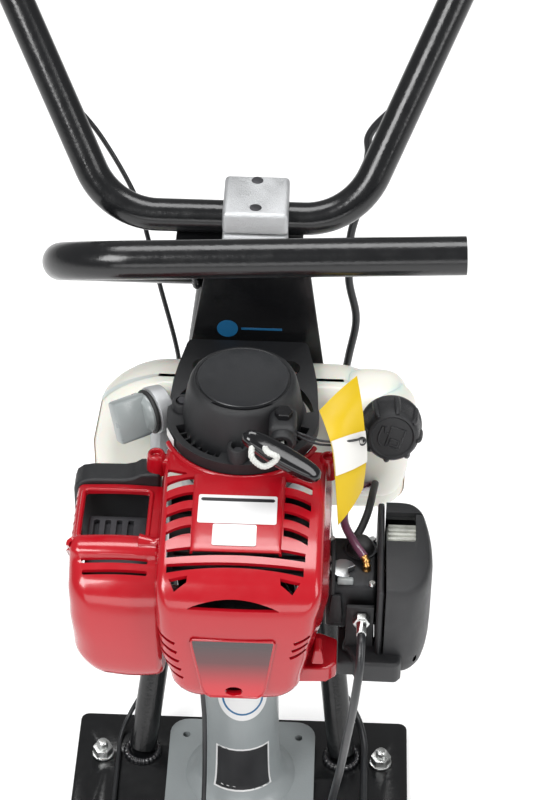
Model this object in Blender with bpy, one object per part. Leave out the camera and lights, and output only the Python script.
"""Drive unit of a hand-guided concrete vibrating screed, at rest, in metres.

+Z is up, +Y points back to the operator and -Y to the front. The origin is on the underside
of the base plate, on the common axis of the engine's crankshaft and the exciter shaft.
"""

import math

import bmesh
import bpy
from mathutils import Matrix, Vector

GAP = 0.0003  # left between pieces that touch

# Base plate and what stands on it
PLATE_HALF_WIDTH = 0.125
PLATE_FRONT, PLATE_BACK = -0.098, 0.062
PLATE_TOP = 0.006
BLADE_BOLT_X = 0.105
BLADE_BOLT_YS = (0.0205, -0.060)
FLANGE_HALF = (0.055, 0.052)
FLANGE_TOP = 0.0143
FLANGE_HOLE = (0.0425, 0.036)
COLUMN_TOP = 0.1995
UPRIGHT_RADIUS = 0.010
UPRIGHT_WALL = 0.002
UPRIGHT_FOOT = (0.075, 0.026)
UPRIGHT_KNEE = (0.049, 0.104, 0.205)
UPRIGHT_HEAD = (0.021, 0.104, 0.4345)
TOP_PLATE_Z = (0.4365, 0.4415)

# Handlebar, its clamp and the guard bar
CLAMP_X = 0.0043
CLAMP_HALF_WIDTH = 0.0217
CLAMP_Y = (0.074, 0.1195)
CLAMP_SPLIT = 0.4565
CLAMP_TOP = 0.4755
CLAMP_BOLT_YS = (0.0825, 0.1135)
HANDLE_AXIS = Vector((0.0, 0.098, 0.4545))
HANDLE_RADIUS = 0.011
HANDLE_SHIFT = -0.0119
HANDLE_CORNER = 0.081
HANDLE_LEG = 0.500
HANDLE_LEAN = math.radians(34)
HANDLE_SPREADS = {-1: math.radians(25.2), 1: math.radians(23.0)}
GRIP_RUN = 0.170
GRIP_LENGTH = 0.115
GUARD_RADIUS = 0.0125

# Engine, stacked on the crank axis
CLUTCH_CASE_Z = (0.2000, 0.2275)
CRANKCASE_Z = (0.2278, 0.3255)
CRANKCASE_RADIUS = 0.041
CYLINDER_Z = 0.279
CRANK_THROW = 0.015
FLYWHEEL_Z = (0.3290, 0.3490)
FLYWHEEL_RADIUS = 0.043
RECOIL_RIM_Z = (0.3515, 0.3600)
RECOIL_TOP = 0.3915
ROPE_X, ROPE_Z = 0.0272, 0.3805
SHROUD_X = (-0.0495, 0.0575)
SHROUD_BACK = -0.046
CAP_SEAT = Vector((0.0985, 0.0238, 0.3415))
CAP_AXIS = Vector((0.03, -0.95, 0.31)).normalized()
OIL_SEAT = Vector((-0.0625, 0.0185, 0.3500))
OIL_AXIS = Vector((-0.84, -0.54, 0.0)).normalized()
ADJUSTER = Vector((0.082, -0.1163, 0.2800))

MATERIALS = {
    "black_paint": ((0.012, 0.012, 0.014), 0.25, 0.0),
    "grey_paint": ((0.36, 0.38, 0.38), 0.45, 0.0),
    "zinc": ((0.62, 0.62, 0.60), 0.35, 1.0),
    "steel": ((0.45, 0.45, 0.46), 0.35, 1.0),
    "aluminium": ((0.60, 0.60, 0.61), 0.50, 1.0),
    "red_plastic": ((0.62, 0.012, 0.02), 0.22, 0.0),
    "black_plastic": ((0.02, 0.021, 0.023), 0.50, 0.0),
    "tank_plastic": ((0.78, 0.79, 0.73), 0.45, 0.0),
    "grey_plastic": ((0.40, 0.43, 0.42), 0.40, 0.0),
    "rubber": ((0.02, 0.02, 0.02), 0.75, 0.0),
    "foam": ((0.75, 0.76, 0.72), 0.95, 0.0),
    "rope": ((0.85, 0.85, 0.83), 0.90, 0.0),
}


# ---------------------------------------------------------------- helpers


def clear_scene():
    for old in list(bpy.data.objects):
        bpy.data.objects.remove(old)


def material(name):
    found = bpy.data.materials.get(name)
    if found:
        return found
    colour, roughness, metallic = MATERIALS[name]
    made = bpy.data.materials.new(name)
    made.use_nodes = True
    shader = made.node_tree.nodes["Principled BSDF"]
    shader.inputs["Base Color"].default_value = (*colour, 1.0)
    shader.inputs["Roughness"].default_value = roughness
    shader.inputs["Metallic"].default_value = metallic
    return made


def add_object(name, bm, finish, place=None):
    """A bmesh as a linked, smooth-shaded object with outward faces."""
    bmesh.ops.remove_doubles(bm, verts=bm.verts, dist=1e-6)
    bmesh.ops.recalc_face_normals(bm, faces=bm.faces)
    mesh = bpy.data.meshes.new(name)
    bm.to_mesh(mesh)
    bm.free()
    mesh.shade_smooth()
    mesh.set_sharp_from_angle(angle=math.radians(35))
    mesh.materials.append(material(finish))
    made = bpy.data.objects.new(name, mesh)
    bpy.context.scene.collection.objects.link(made)
    if place is not None:
        made.matrix_world = place
    return made


def along(direction, origin=(0, 0, 0), roll=0.0):
    """The matrix that carries local +Z to a direction and the local origin to a point."""
    turn = Vector(direction).to_track_quat("Z", "Y").to_matrix().to_4x4()
    return Matrix.Translation(origin) @ turn @ Matrix.Rotation(roll, 4, "Z")


def block(name, low, high, finish="steel", bevel=0.0, segments=2, vertical=False, place=None):
    """A box between two corners, with all or only its vertical edges rounded."""
    low, high = Vector(low), Vector(high)
    bm = bmesh.new()
    bmesh.ops.create_cube(bm, size=1.0)
    bmesh.ops.scale(bm, verts=bm.verts, vec=high - low)
    bmesh.ops.translate(bm, verts=bm.verts, vec=(low + high) / 2)
    if bevel:
        edges = [e for e in bm.edges if not vertical or abs((e.verts[0].co - e.verts[1].co).z) > 1e-5]
        bmesh.ops.bevel(bm, geom=edges, offset=bevel, segments=segments, affect="EDGES", profile=0.5)
    return add_object(name, bm, finish, place)


def turned(name, profile, finish="steel", ring=False, steps=20, place=None):
    """A profile of (radius, height) points spun about local Z; a ring's profile is a closed loop."""
    bm = bmesh.new()
    points = [bm.verts.new((r, 0.0, z)) for r, z in profile]
    pairs = list(zip(points, points[1:]))
    if ring:
        pairs.append((points[-1], points[0]))
    edges = [bm.edges.new(pair) for pair in pairs]
    bmesh.ops.spin(
        bm, geom=points + edges, cent=(0, 0, 0), axis=(0, 0, 1), dvec=(0, 0, 0),
        angle=2 * math.pi, steps=steps, use_merge=True,
    )
    return add_object(name, bm, finish, place)


def rod(name, radius, start, end, finish="steel", steps=16):
    """A plain round bar between two points."""
    start, end = Vector(start), Vector(end)
    length = (end - start).length
    profile = [(0, 0), (radius, 0), (radius, length), (0, length)]
    return turned(name, profile, finish, steps=steps, place=along(end - start, start))


def prism(name, outline, low, high, finish="steel", place=None):
    """A flat outline in local XY extruded from one height to another."""
    bm = bmesh.new()
    face = bm.faces.new([bm.verts.new((x, y, low)) for x, y in outline])
    grown = bmesh.ops.extrude_face_region(bm, geom=[face])["geom"]
    moved = [v for v in grown if isinstance(v, bmesh.types.BMVert)]
    bmesh.ops.translate(bm, verts=moved, vec=(0, 0, high - low))
    return add_object(name, bm, finish, place)


def hexagon(across_flats):
    radius = across_flats / math.sqrt(3)
    return [(radius * math.cos(k * math.pi / 3), radius * math.sin(k * math.pi / 3)) for k in range(6)]


def arc(radius, start, end, count, centre=(0.0, 0.0)):
    """Points on a circle from one angle to another, in degrees."""
    angles = [math.radians(start + (end - start) * k / count) for k in range(count + 1)]
    return [(centre[0] + radius * math.cos(a), centre[1] + radius * math.sin(a)) for a in angles]


def combine(target, other, operation):
    """Cuts or fuses with a helper object, which then isn't part of the model."""
    step = target.modifiers.new(operation.lower(), "BOOLEAN")
    step.operation = operation
    step.object = other
    other.hide_render = True
    other.display_type = "WIRE"
    return target


def cut(target, *cutters):
    for cutter in cutters:
        combine(target, cutter, "DIFFERENCE")
    return target


def fuse(target, *others):
    for other in others:
        combine(target, other, "UNION")
    return target


def rounded_path(corners, bend, pieces=5):
    """Straight runs between corners, joined by arcs of one bend radius."""
    corners = [Vector(c) for c in corners]
    path = [corners[0]]
    for before, corner, after in zip(corners, corners[1:], corners[2:]):
        back, ahead = (before - corner).normalized(), (after - corner).normalized()
        half = back.angle(ahead) / 2
        reach = bend / math.tan(half)
        centre = corner + (back + ahead).normalized() * bend / math.sin(half)
        start, end = corner + back * reach, corner + ahead * reach
        for k in range(pieces + 1):
            spoke = (start - centre).normalized().slerp((end - centre).normalized(), k / pieces)
            path.append(centre + spoke * bend)
    path.append(corners[-1])
    return path


def smooth_path(points, per_span=3):
    """A Catmull-Rom curve through hand-placed route points."""
    route = [Vector(p) for p in points]
    ends = [2 * route[0] - route[1], *route, 2 * route[-1] - route[-2]]
    path = []
    for a, b, c, d in zip(ends, ends[1:], ends[2:], ends[3:]):
        for k in range(per_span):
            t = k / per_span
            path.append(0.5 * (2 * b + (c - a) * t + (2 * a - 5 * b + 4 * c - d) * t**2
                               + (3 * b - a - 3 * c + d) * t**3))
    return path + [route[-1]]


def tube(name, path, radius, finish, wall=0.0, resolution=4, origin=(0, 0, 0)):
    """A round tube or cord along a path; a wall thickness leaves it open at both ends."""
    curve = bpy.data.curves.new(name, "CURVE")
    curve.dimensions = "3D"
    curve.bevel_depth = radius
    curve.bevel_resolution = resolution
    curve.use_fill_caps = not wall
    spline = curve.splines.new("POLY")
    spline.points.add(len(path) - 1)
    for point, place in zip(spline.points, path):
        point.co = (*(place - Vector(origin)), 1.0)
    curve.materials.append(material(finish))
    made = bpy.data.objects.new(name, curve)
    made.location = origin
    bpy.context.scene.collection.objects.link(made)
    if wall:
        shell = made.modifiers.new("wall", "SOLIDIFY")
        shell.thickness = wall
        shell.offset = -1.0
    return made


def joint_parent(name, place):
    """An empty on a joint's axis that a moving piece hangs from."""
    empty = bpy.data.objects.new(name, None)
    empty.matrix_world = place
    bpy.context.scene.collection.objects.link(empty)
    return empty


# ---------------------------------------------------------------- base


def build_base():
    plate = block(
        "base_plate", (-PLATE_HALF_WIDTH, PLATE_FRONT, 0), (PLATE_HALF_WIDTH, PLATE_BACK, PLATE_TOP),
        "black_paint", bevel=0.006, segments=3, vertical=True,
    )
    number = 0
    for y in BLADE_BOLT_YS:
        for side in (-1, 1):
            number += 1
            place = Matrix.Translation((side * BLADE_BOLT_X, y, 0))
            hole = turned(
                f"bolt_hole_{number}",
                [(0, -0.001), (0.0075, -0.001), (0.0075, 0.0031), (0.0044, 0.0031), (0.0044, 0.008), (0, 0.008)],
                steps=14, place=place,
            )
            cut(plate, hole)
            build_blade_bolt(number, place)


def build_blade_bolt(number, place):
    """A flush-headed bolt with its washer and nut, which would hold the blade under the plate."""
    washer, nut_foot, nut_top, end = PLATE_TOP + GAP, 0.0077, 0.0145, 0.0205
    bolt = turned(
        f"blade_bolt_{number}",
        [(0, GAP), (0.0071, GAP), (0.0071, 0.0028), (0.004, 0.0028), (0.004, washer), (0.0082, washer),
         (0.0082, 0.0080), (0.004, 0.0080), (0.004, end - 0.001), (0.003, end), (0, end)],
        "zinc", steps=14, place=place,
    )
    nut = prism(f"blade_nut_{number}", hexagon(0.013), nut_foot, nut_top, "zinc", place)
    fuse(bolt, nut)


def build_exciter_housing():
    """The cast column: square flange, round neck and clutch bell, bored through for the shaft."""
    housing = turned(
        "exciter_housing",
        [(0, PLATE_TOP + GAP), (0.044, PLATE_TOP + GAP), (0.041, FLANGE_TOP), (0.0345, 0.0205), (0.0300, 0.031),
         (0.0285, 0.048), (0.0278, 0.075), (0.0270, 0.130), (0.0300, 0.152), (0.0385, 0.168),
         (0.043, 0.178), (0.043, COLUMN_TOP), (0, COLUMN_TOP)],
        "grey_paint", steps=24,
    )
    flange = block(
        "flange", (-FLANGE_HALF[0], -FLANGE_HALF[1], PLATE_TOP + GAP), (*FLANGE_HALF, FLANGE_TOP),
        bevel=0.014, segments=4, vertical=True,
    )
    fuse(housing, flange)
    bore = turned(
        "housing_bore",
        [(0, 0.005), (0.0213, 0.005), (0.0213, 0.1585), (0.0385, 0.172), (0.0385, 0.201), (0, 0.201)],
        steps=24,
    )
    cut(housing, bore)
    for side in (-1, 1):
        for end in (-1, 1):
            x, y = side * FLANGE_HOLE[0], end * FLANGE_HOLE[1]
            cut(housing, rod(f"flange_hole_{x}_{y}", 0.0028, (x, y, 0.004), (x, y, 0.017), steps=10))
    for name, foot in (("lower_bearing", 0.030), ("upper_bearing", 0.145)):
        turned(
            name, [(0.0078, foot), (0.0210, foot), (0.0210, foot + 0.013), (0.0078, foot + 0.013)],
            "steel", ring=True, steps=18,
        )


def build_exciter_rotor():
    """Shaft, eccentric weight and clutch drum, which turn together inside the column."""
    turned("eccentric_shaft", [(0, 0.012), (0.0075, 0.012), (0.0075, 0.1717), (0, 0.1717)], "steel", steps=16)
    half_moon = arc(0.0195, -90, 90, 10) + arc(0.0078, 90, -90, 8)
    prism("eccentric_weight", half_moon, 0.060, 0.130, "steel")
    turned(
        "clutch_drum",
        [(0, 0.172), (0.036, 0.172), (0.036, 0.1985), (0.0335, 0.1985), (0.0335, 0.176), (0, 0.176)],
        "steel", steps=22,
    )


# ---------------------------------------------------------------- frame


def build_mast():
    for name, side in (("left_upright", -1), ("right_upright", 1)):
        corners = [
            (side * UPRIGHT_FOOT[0], UPRIGHT_FOOT[1], PLATE_TOP + 0.0045),
            (side * UPRIGHT_KNEE[0], *UPRIGHT_KNEE[1:]),
            (side * UPRIGHT_HEAD[0], *UPRIGHT_HEAD[1:]),
        ]
        tube(name, rounded_path(corners, 0.06), UPRIGHT_RADIUS, "black_paint", wall=UPRIGHT_WALL)
    panel_low, panel_high, back, front = 0.300, 0.4362, 0.0935, 0.0905
    outline = [(-0.0480, panel_low), (0.0570, panel_low), (0.0385, panel_high), (-0.0265, panel_high)]
    upright_face = Matrix.Translation((0, back, 0)) @ Matrix.Rotation(math.radians(90), 4, "X")
    prism("mast_panel", outline, 0, back - front, "black_paint", upright_face)
    block(
        "top_plate", (-0.049, 0.070, TOP_PLATE_Z[0]), (0.036, 0.1175, TOP_PLATE_Z[1]),
        "black_paint", bevel=0.008, segments=3, vertical=True,
    )


def build_guard_bar():
    """The hooked carrying bar: welded to the left upright, it bends forward and crosses to a free end."""
    corners = [(0.1405, 0.022, 0.4845), (-0.1215, 0.013, 0.4770), (-0.1215, 0.104, 0.408), (-0.0363, 0.104, 0.408)]
    tube("guard_bar", rounded_path(corners, 0.050, 6), GUARD_RADIUS, "black_paint", wall=0.002)


def build_clamp():
    """Two cast halves that grip the handlebar, and the two socket screws that pull them together."""
    x0, x1 = CLAMP_X - CLAMP_HALF_WIDTH, CLAMP_X + CLAMP_HALF_WIDTH
    split = CLAMP_SPLIT
    base = block("clamp_base", (x0, CLAMP_Y[0], TOP_PLATE_Z[1] + GAP), (x1, CLAMP_Y[1], split - 0.0005),
                 "aluminium", bevel=0.002)
    cap = block("clamp_cap", (x0, CLAMP_Y[0], split + 0.0005), (x1, CLAMP_Y[1], CLAMP_TOP),
                "aluminium", bevel=0.003)
    seat = rod("handle_seat", HANDLE_RADIUS + GAP, (-0.06, *HANDLE_AXIS.yz), (0.06, *HANDLE_AXIS.yz), steps=20)
    cut(base, seat)
    cut(cap, seat)
    for name, y in zip(("clamp_bolt_front", "clamp_bolt_rear"), CLAMP_BOLT_YS):
        place = Matrix.Translation((CLAMP_X, y, 0))
        hole = turned(
            name + "_hole",
            [(0, 0.440), (0.0029, 0.440), (0.0029, 0.4685), (0.0052, 0.4685), (0.0052, 0.478), (0, 0.478)],
            steps=12, place=place,
        )
        cut(base, hole)
        cut(cap, hole)
        turned(
            name, [(0, 0.443), (0.0025, 0.443), (0.0025, 0.4688), (0.0048, 0.4688), (0.0048, 0.4735), (0, 0.4735)],
            "zinc", steps=12, place=place,
        )


def leg_corner(side, reach=0.0):
    """A point on a handlebar leg, the given distance up from its lower corner."""
    spread = HANDLE_SPREADS[side]
    forward = math.cos(spread)
    direction = Vector((side * math.sin(spread), forward * math.sin(HANDLE_LEAN), forward * math.cos(HANDLE_LEAN)))
    return HANDLE_AXIS + Vector((HANDLE_SHIFT + side * HANDLE_CORNER, 0, 0)) + direction * reach


def grip_direction(side):
    return Vector((side * 0.10, 0.97, 0.20)).normalized()


def grip_place(side, back_from_end):
    """Local +Z along the grip, local +Y up, at a distance in front of the handlebar's end."""
    ahead = grip_direction(side)
    end = leg_corner(side, HANDLE_LEG) + ahead * GRIP_RUN
    across = ahead.cross(Vector((0, 0, 1))).normalized()
    up = across.cross(ahead)
    turn = Matrix((-across, up, ahead)).transposed().to_4x4()
    return Matrix.Translation(end - ahead * back_from_end) @ turn


def build_handlebar():
    corners = []
    for side in (-1, 1):
        upper = leg_corner(side, HANDLE_LEG)
        run = [upper + grip_direction(side) * GRIP_RUN, upper, leg_corner(side)]
        corners += run if side < 0 else run[::-1]
    tube("handlebar", rounded_path(corners, 0.050), HANDLE_RADIUS, "black_paint", wall=0.002, origin=HANDLE_AXIS)
    for name, side in (("left_grip", -1), ("right_grip", 1)):
        tip, bore, rim = 0.004, HANDLE_RADIUS + GAP, 0.0155
        turned(
            name,
            [(0, tip), (rim - 0.002, tip), (rim, tip - 0.002), (rim, -GRIP_LENGTH + 0.004),
             (rim + 0.003, -GRIP_LENGTH + 0.003), (rim + 0.003, -GRIP_LENGTH),
             (bore, -GRIP_LENGTH), (bore, GAP), (0, GAP)],
            "rubber", steps=14, place=grip_place(side, 0),
        )


def build_throttle_control():
    """A clamp ring with two lugs on the right leg, and the trigger that hinges between them."""
    place = grip_place(1, GRIP_LENGTH + 0.004)
    ring = turned("throttle_bracket", [(HANDLE_RADIUS + GAP, -0.018), (0.0165, -0.018), (0.0165, 0), (HANDLE_RADIUS + GAP, 0)],
                  "black_plastic", ring=True, steps=14, place=place)
    for side in (-1, 1):
        lug = block(f"lug_{side}", (side * 0.0065 - 0.0015, -0.026, -0.015), (side * 0.0065 + 0.0015, -0.0140, -0.003),
                    place=place)
        fuse(ring, lug)
    hinge = place @ Matrix.Translation((0, -0.0215, -0.009))
    pivot = joint_parent("throttle_pivot", hinge)
    outline = [(-0.0040, -0.0080), (0.0040, -0.0085), (0.0120, 0.0200), (0.0250, 0.0800), (0.0300, 0.0900),
               (0.0265, 0.0930), (0.0205, 0.0810), (0.0065, 0.0200)]
    side_on = Matrix.Rotation(math.radians(-90), 4, "Y")
    lever = prism("throttle_lever", [(z, -y) for y, z in outline], -0.0045, 0.0045, "black_plastic")
    lever.parent = pivot
    lever.matrix_parent_inverse = Matrix.Identity(4)
    lever.matrix_basis = side_on


def build_stop_switch():
    """A switch box on the left leg with its rocker."""
    place = grip_place(-1, GRIP_LENGTH + 0.004)
    ring = turned("switch_housing", [(HANDLE_RADIUS + GAP, -0.022), (0.0160, -0.022), (0.0160, 0), (HANDLE_RADIUS + GAP, 0)],
                  "black_plastic", ring=True, steps=14, place=place)
    box = block("switch_box", (-0.010, 0.0125, -0.021), (0.010, 0.0265, -0.001), bevel=0.002, place=place)
    fuse(ring, box)
    pocket = block("switch_pocket", (-0.0055, 0.0195, -0.0175), (0.0055, 0.030, -0.0045), place=place)
    cut(ring, pocket)
    hinge = place @ Matrix.Translation((0, 0.0262, -0.011))
    pivot = joint_parent("switch_pivot", hinge)
    rocker = prism("stop_switch", [(-0.0054, -0.0026), (0.0054, -0.0026), (0.0054, 0.0026), (0, 0.0006), (-0.0054, 0.0026)],
                   -0.0050, 0.0050, "red_plastic")
    rocker.parent = pivot
    rocker.matrix_parent_inverse = Matrix.Identity(4)
    rocker.matrix_basis = Matrix.Rotation(math.radians(-12), 4, "X") @ Matrix.Rotation(math.radians(-90), 4, "Y")


# ---------------------------------------------------------------- engine


def build_engine_core():
    turned(
        "clutch_case",
        [(0.0385, CLUTCH_CASE_Z[0]), (0.0445, CLUTCH_CASE_Z[0]), (0.046, CLUTCH_CASE_Z[1]),
         (0.0085, CLUTCH_CASE_Z[1]), (0.0085, 0.2225), (0.0385, 0.2225)],
        "aluminium", ring=True, steps=24,
    )
    low, high = CRANKCASE_Z
    radius, bearing_hole = CRANKCASE_RADIUS, 0.0085
    case = turned(
        "crankcase",
        [(bearing_hole, low), (radius, low), (radius, high), (bearing_hole, high), (bearing_hole, high - 0.006),
         (radius - 0.005, high - 0.006), (radius - 0.005, low + 0.006), (bearing_hole, low + 0.006)],
        "aluminium", ring=True, steps=24,
    )
    knee = OIL_SEAT - OIL_AXIS * 0.0098
    elbow = Vector((knee.x, knee.y, 0.312))
    neck = rod("oil_filler_foot", 0.0095, (-0.034, 0.0175, 0.302), elbow, steps=14)
    riser = rod("oil_filler_neck", 0.0095, elbow - Vector((0, 0, 0.008)), knee + Vector((0, 0, 0.0008)), steps=14)
    lip = turned("oil_filler_lip", [(0, -0.004), (0.0150, -0.004), (0.0150, -GAP), (0, -GAP)], steps=16,
                 place=along(OIL_AXIS, OIL_SEAT))
    fuse(case, neck, riser, lip)
    cut(
        case,
        rod("oil_foot_passage", 0.0055, (-0.033, 0.0175, 0.302), elbow, steps=10),
        rod("oil_neck_passage", 0.0055, elbow, knee - Vector((0, 0, 0.001)), steps=10),
        rod("oil_mouth", 0.0055, knee - Vector((0, 0, 0.004)), OIL_SEAT + OIL_AXIS * 0.002 - Vector((0, 0, 0.004)), steps=10),
    )
    cut(case, rod("cylinder_seat", 0.0264, (0, -0.020, CYLINDER_Z), (0, -0.050, CYLINDER_Z), steps=20))
    build_cylinder()
    build_crank_train()
    block("ignition_coil", (-0.016, -0.060, 0.3215), (0.016, -0.0445, 0.342), "black_plastic", bevel=0.002)
    plug_profile = [(0, 0.0305), (0.0035, 0.0305), (0.0035, 0.036), (0.0060, 0.036), (0.0060, 0.0400),
                    (0.0035, 0.0400), (0.0028, 0.0440), (0, 0.0440)]
    turned("spark_plug", plug_profile, "steel", steps=12, place=along((1, 0, 0), (0, -0.127, CYLINDER_Z)))


def build_cylinder():
    """Bore, cooling fins and head as one casting, lying forward from the crankcase."""
    outline = [(0, 0.134), (0.0300, 0.134), (0.0300, 0.121)]
    fins, pitch, start = 6, 0.012, 0.119
    for k in range(fins):
        outer = start - k * pitch
        outline += [(0.0395, outer), (0.0395, outer - 0.003), (0.0270, outer - 0.003), (0.0270, outer - pitch)]
    outline = outline[:-1] + [(0.0260, 0.055), (0.0260, 0.030), (0.0197, 0.030), (0.0197, 0.098), (0, 0.098)]
    turned("cylinder", outline, "aluminium", steps=20, place=along((0, -1, 0), (0, 0, CYLINDER_Z)))


def build_crank_train():
    crank = rod("crankshaft", 0.006, (0, 0, 0.1782), (0, 0, 0.268), steps=14)
    fuse(
        crank,
        rod("lower_web", 0.0225, (0, 0, 0.262), (0, 0, 0.270), steps=18),
        rod("crank_pin", 0.005, (0, -CRANK_THROW, 0.269), (0, -CRANK_THROW, 0.289), steps=12),
        rod("upper_web", 0.0225, (0, 0, 0.288), (0, 0, 0.296), steps=18),
        rod("upper_journal", 0.006, (0, 0, 0.295), (0, 0, 0.3585), steps=14),
    )
    turned(
        "piston", [(0, 0.088), (0.0193, 0.088), (0.0193, 0.060), (0.0160, 0.060), (0.0160, 0.080), (0, 0.080)],
        "aluminium", steps=18, place=along((0, -1, 0), (0, 0, CYLINDER_Z)),
    )
    low, high = FLYWHEEL_Z
    turned(
        "flywheel",
        [(0.0063, low), (FLYWHEEL_RADIUS, low), (FLYWHEEL_RADIUS, high - 0.008), (0.036, high), (0.017, high),
         (0.017, high + 0.0075), (0.0063, high + 0.0075)],
        "aluminium", ring=True, steps=24,
    )
    shoes = turned(
        "clutch_shoes", [(0.0063, 0.179), (0.0325, 0.179), (0.0325, 0.194), (0.0063, 0.194)],
        "steel", ring=True, steps=20,
    )
    for side in (-1, 1):
        cut(shoes, block(f"shoe_slot_{side}", (side * 0.026 - 0.012, -0.002, 0.170), (side * 0.026 + 0.012, 0.002, 0.200)))


def build_recoil_starter():
    rim_low, rim_high = RECOIL_RIM_Z
    case = turned(
        "recoil_case",
        [(0, rim_low), (0.0400, rim_low), (0.0400, 0.362), (0.0385, 0.379), (0.0360, 0.388), (0.0330, RECOIL_TOP),
         (0, RECOIL_TOP)],
        "black_plastic", steps=28,
    )
    arch = arc(0.0505, -180, 0, 18, (0, 0.006)) + [(0.0485, 0.040), (0.0415, 0.0805), (0.037, 0.0845)]
    arch += [(-0.037, 0.0845), (-0.0415, 0.0805), (-0.0485, 0.040)]
    fuse(case, prism("recoil_rim", arch, rim_low, rim_high))
    fuse(case, block("rope_outlet", (0.0172, -0.046, 0.369), (0.0372, -0.024, 0.390), bevel=0.002))
    hollow = turned(
        "recoil_hollow",
        [(0, rim_low - 0.002), (0.0365, rim_low - 0.002), (0.0365, 0.362), (0.0350, 0.382), (0.0320, 0.3885),
         (0, 0.3885)],
        steps=28,
    )
    cut(case, hollow, rod("rope_hole", 0.0032, (ROPE_X, -0.010, ROPE_Z), (ROPE_X, -0.052, ROPE_Z), steps=10))
    for side in (-1, 1):
        outer, inner = arc(0.0470, 8, 52, 8), arc(0.0424, 52, 8, 8)
        slot = [(side * x, y + 0.006) for x, y in outer + inner]
        cut(case, prism(f"air_slot_{side}", slot, rim_low - 0.002, rim_high + 0.002))
        cut(case, rod(f"air_hole_{side}", 0.0085, (side * 0.0285, 0.0545, 0.345), (side * 0.0285, 0.0545, 0.365), steps=14))
    turned(
        "starter_pulley",
        [(0.006, 0.370), (0.025, 0.370), (0.025, 0.3725), (0.0214, 0.3745), (0.0214, 0.3835), (0.025, 0.3855),
         (0.025, 0.388), (0.006, 0.388)],
        "grey_plastic", ring=True, steps=20,
    )
    handle_place = along((0.859, -0.150, -0.481), (ROPE_X, -0.0580, ROPE_Z))
    block("starter_handle", (-0.0065, -0.0065, -0.0290), (0.0065, 0.0065, 0.0290), "black_plastic",
          bevel=0.004, place=handle_place)
    rod("starter_rope", 0.0015, (ROPE_X, -0.012, ROPE_Z), (ROPE_X, -0.0510, ROPE_Z), "rope", steps=8)


def build_covers():
    """The red fan shroud and exhaust cover, with the black heat shield behind it."""
    outer = [(SHROUD_BACK, 0.3500), (-0.105, 0.3460), (-0.128, 0.3380), (-0.140, 0.3260), (-0.1450, 0.3080),
             (-0.1450, 0.2560), (-0.1400, 0.2460), (SHROUD_BACK, 0.2460)]
    inner = [(SHROUD_BACK + 0.01, 0.3470), (-0.104, 0.3430), (-0.1265, 0.3355), (-0.1375, 0.3245), (-0.1425, 0.3072),
             (-0.1425, 0.2568), (-0.1380, 0.2400), (SHROUD_BACK + 0.01, 0.2400)]
    sideways = Matrix(((0, 0, 1, 0), (1, 0, 0, 0), (0, 1, 0, 0), (0, 0, 0, 1)))
    shroud = prism("fan_shroud", outer, *SHROUD_X, "red_plastic", sideways)
    left, right = SHROUD_X
    plan = [(left, 0), (left, -0.118), (left + 0.003, -0.134), (left + 0.012, -0.1455),
            (right - 0.018, -0.1455), (right - 0.009, -0.134), (right - 0.003, -0.118), (right, -0.100), (right, 0)]
    combine(shroud, prism("shroud_plan", plan, 0.230, 0.360), "INTERSECT")
    fuse(shroud, block("shroud_ear", (0.0450, -0.127, 0.2462), (0.0655, -0.100, 0.2620), bevel=0.002))
    hollow = prism("shroud_hollow", inner, left + 0.0025, right - 0.0025, place=sideways)
    plan = [(left + 0.0025, 0), (left + 0.0025, -0.117), (left + 0.006, -0.133), (left + 0.0135, -0.143),
            (right - 0.0195, -0.143), (right - 0.012, -0.133), (right - 0.0055, -0.117), (right - 0.0025, 0)]
    combine(hollow, prism("shroud_inner_plan", plan, 0.230, 0.360), "INTERSECT")
    cut(shroud, hollow)
    muffler = block("muffler", (-0.0990, -0.120, 0.250), (-0.0540, -0.046, 0.312), "steel", bevel=0.006)
    cut(
        muffler,
        block("muffler_hollow", (-0.0975, -0.1185, 0.2515), (-0.0555, -0.0475, 0.3105), bevel=0.005),
        rod("muffler_outlet", 0.006, (-0.080, -0.060, 0.240), (-0.080, -0.060, 0.260), steps=12),
    )
    cover = block("muffler_cover", (-0.107, -0.131, 0.243), (-0.0503, -0.0345, 0.331), "red_plastic",
                  bevel=0.015, segments=3)
    cut(
        cover,
        block("cover_hollow", (-0.1045, -0.1285, 0.229), (-0.030, -0.037, 0.3285), bevel=0.013, segments=3),
        block("cover_window", (-0.101, -0.0865, 0.315), (-0.0600, -0.0425, 0.340)),
    )
    shield = block("muffler_shield", (-0.110, -0.0342, 0.262), (-0.0520, -0.0165, 0.334), "black_plastic", bevel=0.005)
    cut(shield, block("shield_hollow", (-0.107, -0.040, 0.255), (-0.0460, -0.0195, 0.331)))


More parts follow.
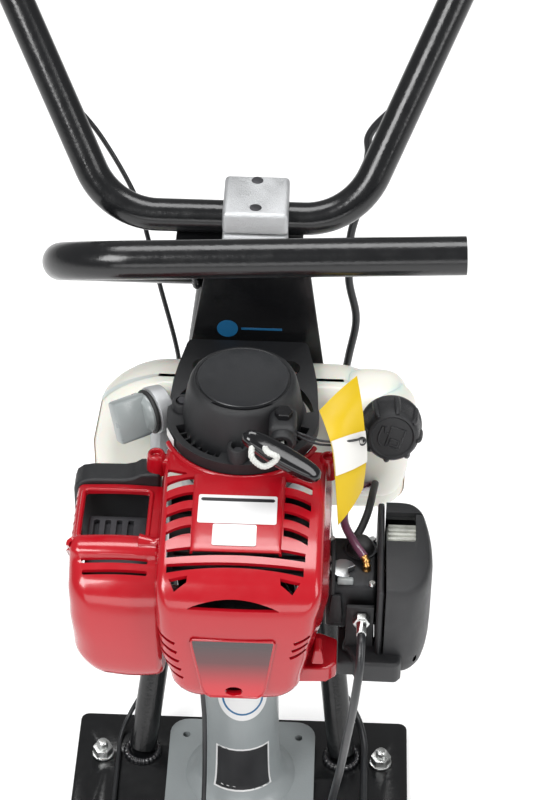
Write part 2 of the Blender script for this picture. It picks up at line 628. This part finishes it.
def build_fuel_system():
    tank = block("fuel_tank", (-0.105, 0.036, 0.244), (0.1115, 0.088, 0.3505), "tank_plastic", bevel=0.022, segments=4)
    plan = arc(0.040, 180, 90, 6, (-0.065, 0.048)) + arc(0.040, 90, 0, 6, (0.0715, 0.048)) + [(0.1125, 0.030), (-0.106, 0.030)]
    combine(tank, prism("tank_plan", plan, 0.230, 0.360), "INTERSECT")
    fuse(tank, rod("tank_neck", 0.0155, CAP_SEAT - CAP_AXIS * 0.022, CAP_SEAT + CAP_AXIS * 0.0145, steps=16))
    cut(tank, rod("crankcase_clearance", CRANKCASE_RADIUS + 0.0025, (0, 0, 0.230), (0, 0, 0.360), steps=24))
    rib_count, radius, rib = 8, 0.0200, 0.0018
    outline = []
    for k in range(rib_count):
        middle = 360 * k / rib_count
        outline += arc(radius + rib, middle - 5, middle + 5, 1) + arc(radius, middle + 8, middle + 37, 2)
    place = along(CAP_AXIS, CAP_SEAT)
    cap = prism("fuel_cap", outline, 0, 0.025, "black_plastic", place)
    cut(cap, turned("cap_bore", [(0, -0.002), (0.0162, -0.002), (0.0162, 0.0165), (0, 0.0165)], steps=16, place=place))
    route = [(0.0985, 0.0355, 0.290), (0.0965, 0.022, 0.294), (0.0920, 0.000, 0.304), (0.0830, -0.020, 0.312),
             (0.0680, -0.040, 0.3110), (0.0665, -0.0500, 0.3034)]
    tube("fuel_line", smooth_path(route, 3), 0.0028, "rubber", resolution=2)
    oil_place = along(OIL_AXIS, OIL_SEAT, roll=math.radians(-65))
    oil = turned("oil_cap", [(0, 0), (0.0140, 0), (0.0140, 0.0045), (0.0110, 0.0075), (0, 0.0075)],
                 "grey_plastic", steps=16, place=oil_place)
    fuse(oil, block("oil_paddle", (-0.0145, -0.0055, 0.004), (0.0145, 0.0055, 0.027), bevel=0.002, place=oil_place))


def build_carburettor():
    body = block("carburettor", (0.0582, -0.092, 0.262), (0.0912, -0.044, 0.3000), "aluminium", bevel=0.003)
    fuse(body, rod("float_bowl", 0.0130, (0.0740, -0.068, 0.2555), (0.0740, -0.068, 0.268), steps=14))
    cut(body, rod("primer_pocket", 0.0092, (0.0805, -0.0560, 0.2935), (0.0805, -0.0560, 0.304), steps=14))
    dome = [(0, 0.2992), (0.0087, 0.2992), (0.0087, 0.3020), (0.0075, 0.3062), (0.0045, 0.3088), (0, 0.3096)]
    turned("primer_bulb", dome, "rubber", steps=14, place=Matrix.Translation((0.0805, -0.0560, 0)))
    cam = arc(0.0085, 20, 300, 10) + [(0.0035, -0.0035), (0.0035, 0.0)]
    prism("throttle_cam", cam, 0.3003, 0.3043, "steel", Matrix.Translation((0.0690, -0.0790, 0)))
    lever = [(-0.0045, -0.0040), (0.0045, -0.0040), (0.0045, 0.0040), (0.0030, 0.0200), (-0.0030, 0.0200), (-0.0045, 0.0040)]
    front = Matrix.Translation((0.0650, -0.0923, 0.2740)) @ Matrix.Rotation(math.radians(90), 4, "X")
    prism("choke_lever", lever, 0, 0.0030, "black_plastic", front)


def build_air_cleaner():
    block("air_cleaner_base", (0.0915, -0.108, 0.238), (0.0960, -0.020, 0.310), "black_plastic", bevel=0.0015, segments=1)
    block("air_filter", (0.0975, -0.094, 0.252), (0.1180, -0.030, 0.3000), "foam", bevel=0.004)
    cover = block("air_cleaner_cover", (0.0963, -0.108, 0.236), (0.128, -0.020, 0.312), "black_plastic",
                  bevel=0.010, segments=3)
    cut(
        cover,
        block("cleaner_hollow", (0.090, -0.1055, 0.2385), (0.1255, -0.0225, 0.3095), bevel=0.008, segments=2),
        block("cleaner_notch", (0.090, -0.062, 0.3050), (0.1180, -0.030, 0.320)),
        block("cleaner_mouth", (0.080, -0.120, 0.230), (0.0963, 0.0, 0.320)),
    )


def build_throttle_linkage():
    bracket = block("cable_bracket", (0.0670, -0.112, 0.2380), (0.0910, -0.050, 0.2500), "black_plastic", bevel=0.002)
    plate = block("adjuster_plate", (0.0720, -0.1000, 0.246), (0.0900, -0.0970, 0.2890))
    fuse(bracket, plate)
    cut(bracket, rod("adjuster_hole", 0.0037, (ADJUSTER.x, -0.104, ADJUSTER.z), (ADJUSTER.x, -0.093, ADJUSTER.z), steps=12))
    place = along((0, -1, 0), (ADJUSTER.x, 0, ADJUSTER.z))
    screw = turned("cable_adjuster", [(0, 0.0958), (0.0033, 0.0958), (0.0033, 0.1160), (0, 0.1160)], "zinc", steps=12,
                   place=place)
    fuse(screw, prism("adjuster_nut", hexagon(0.010), 0.1003, 0.1058, place=place))


def leg_route(side, drop):
    """Points along the rear of a handlebar leg, ending under the controls on its grip."""
    behind = Vector((0, math.cos(HANDLE_LEAN), -math.sin(HANDLE_LEAN))) * 0.0155
    route = [leg_corner(side, reach) + behind for reach in (0.100, 0.160, 0.240, 0.320, 0.400, 0.455)]
    route.append(leg_corner(side, 0.490) + behind * 1.2 + Vector((0, 0.004, 0)))
    place = grip_place(side, GRIP_LENGTH + 0.030)
    route.append(place @ Vector((0, -0.0175, -0.004)))
    route.append(place @ Vector((0, -0.0195, drop)))
    return route


def build_cables():
    """The throttle cable and the stop-switch wire, on their routes from the engine to the handles."""
    throttle_route = [
        (0.0820, -0.1165, 0.2800), (0.0820, -0.1240, 0.2788), (0.0815, -0.1335, 0.2690), (0.0800, -0.1370, 0.2520),
        (0.0780, -0.1340, 0.2250), (0.0750, -0.1230, 0.1850), (0.0720, -0.1040, 0.1350), (0.0690, -0.0800, 0.0850),
        (0.0660, -0.0680, 0.0450), (0.0660, -0.0680, 0.0220), (0.0700, -0.0760, 0.0120), (0.0790, -0.0820, 0.0098),
        (0.0880, -0.0760, 0.0096), (0.0922, -0.0600, 0.0096), (0.0925, -0.0200, 0.0096), (0.0925, 0.0150, 0.0096),
        (0.0925, 0.0350, 0.0105), (0.0880, 0.0520, 0.0170), (0.0790, 0.0610, 0.0310), (0.0684, 0.0660, 0.0500),
        (0.0617, 0.0828, 0.0959), (0.0550, 0.1029, 0.1459), (0.0510, 0.1189, 0.1860), (0.0540, 0.1250, 0.2200),
        (0.0620, 0.1270, 0.2600), (0.0700, 0.1240, 0.3180), (0.0740, 0.1280, 0.3485), (0.0680, 0.1320, 0.3790),
        (0.0680, 0.1400, 0.4100), (0.0740, 0.1480, 0.4350), (0.0780, 0.1550, 0.4680), (0.0800, 0.1600, 0.4850),
        *leg_route(1, 0.0050),
    ]
    tube("throttle_cable", smooth_path(throttle_route, 2), 0.0028, "rubber", resolution=2)
    stop_route = [
        (-0.0270, -0.0360, 0.1997), (-0.0270, -0.0362, 0.1850), (-0.0255, -0.0440, 0.1500), (-0.0240, -0.0455, 0.1200),
        (-0.0240, -0.0460, 0.0800), (-0.0245, -0.0480, 0.0480), (-0.0260, -0.0560, 0.0260), (-0.0340, -0.0690, 0.0120),
        (-0.0480, -0.0790, 0.0088), (-0.0700, -0.0820, 0.0086), (-0.0870, -0.0750, 0.0086), (-0.0930, -0.0580, 0.0086),
        (-0.0930, -0.0200, 0.0086), (-0.0930, 0.0150, 0.0086), (-0.0930, 0.0350, 0.0092), (-0.0880, 0.0510, 0.0150),
        (-0.0790, 0.0600, 0.0300), (-0.0684, 0.0650, 0.0490), (-0.0617, 0.0828, 0.0959), (-0.0550, 0.1029, 0.1459),
        (-0.0497, 0.1189, 0.1860), (-0.0490, 0.1230, 0.2250), (-0.0500, 0.1230, 0.2700), (-0.0510, 0.1220, 0.3149),
        (-0.0636, 0.1300, 0.3708), (-0.0720, 0.1400, 0.4037), (-0.0812, 0.1500, 0.4327), (-0.1048, 0.1600, 0.4747),
        *leg_route(-1, 0.0040),
    ]
    tube("stop_wire", smooth_path(stop_route, 2), 0.0017, "rubber", resolution=2)


def main():
    clear_scene()
    build_base()
    build_exciter_housing()
    build_exciter_rotor()
    build_mast()
    build_guard_bar()
    build_clamp()
    build_handlebar()
    build_throttle_control()
    build_stop_switch()
    build_engine_core()
    build_recoil_starter()
    build_covers()
    build_fuel_system()
    build_carburettor()
    build_air_cleaner()
    build_throttle_linkage()
    build_cables()


main()
